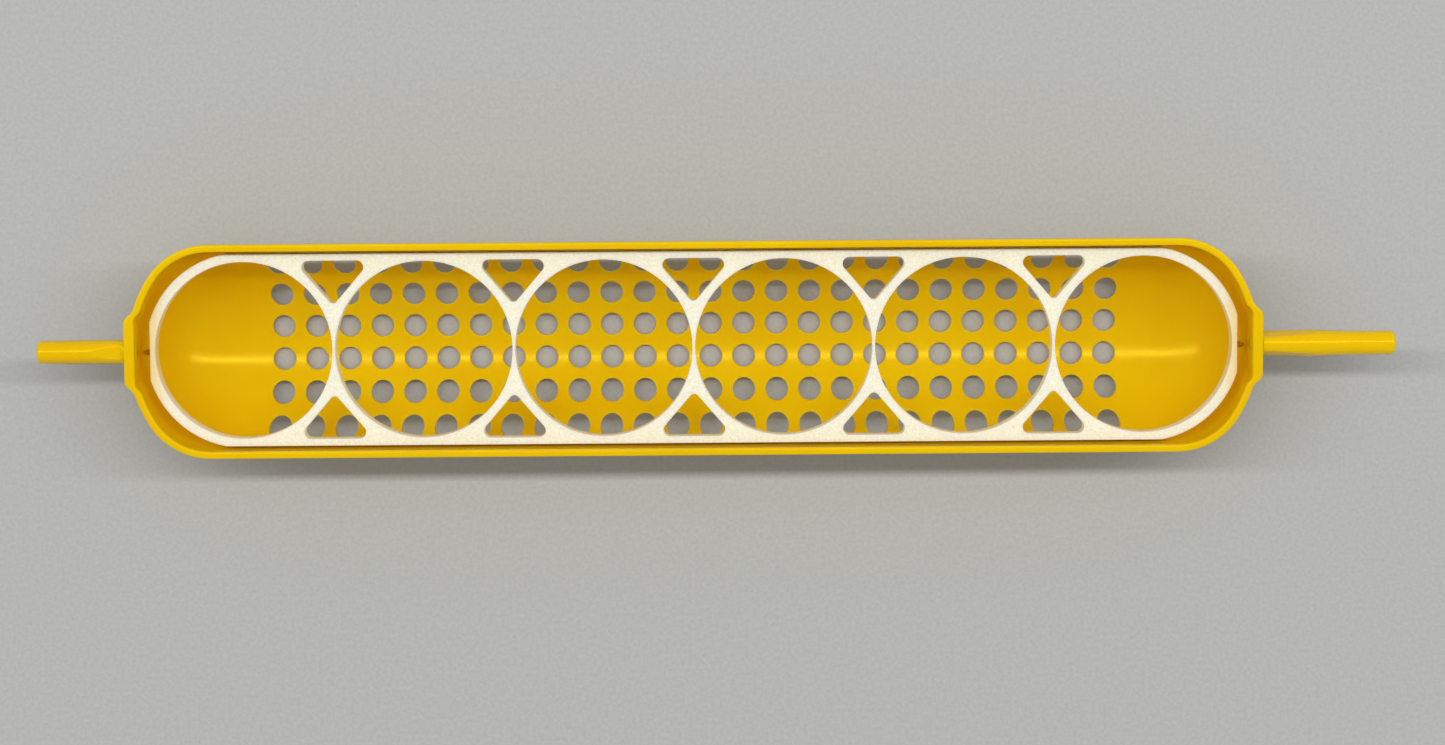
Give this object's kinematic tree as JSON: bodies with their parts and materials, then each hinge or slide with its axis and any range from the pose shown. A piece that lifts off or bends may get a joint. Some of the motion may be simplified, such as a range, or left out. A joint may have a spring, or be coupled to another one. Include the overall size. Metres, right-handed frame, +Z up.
{
  "type": "queen cage",
  "caption": "Open half-capsule queen cage: perforated moulded trough, drop-in plate of round queen cells, and a spindle at each end.",
  "frame": {"origin": "under the middle of the whole cage, spindles included, on the surface that the round bottom stands on", "axes": "+X along the spindles, towards the long one; +Z up, out of the open mouth of the trough; +Y across"},
  "size_m": [0.1706, 0.027, 0.0154],
  "materials": {
    "yellow_plastic": "glossy moulded",
    "ivory_plastic": "fine printed grain"
  },
  "bodies": {
    "cage": {"perforated_trough": "yellow_plastic", "short_spindle": "yellow_plastic", "long_spindle": "yellow_plastic"},
    "plate": {"cell_plate": "ivory_plastic"}
  },
  "joints": [
    {"name": "plate_lift", "type": "slide", "parent": "cage", "child": "plate", "axis": [0, 0, 1], "range_m": [0, 0.02]}
  ]
}
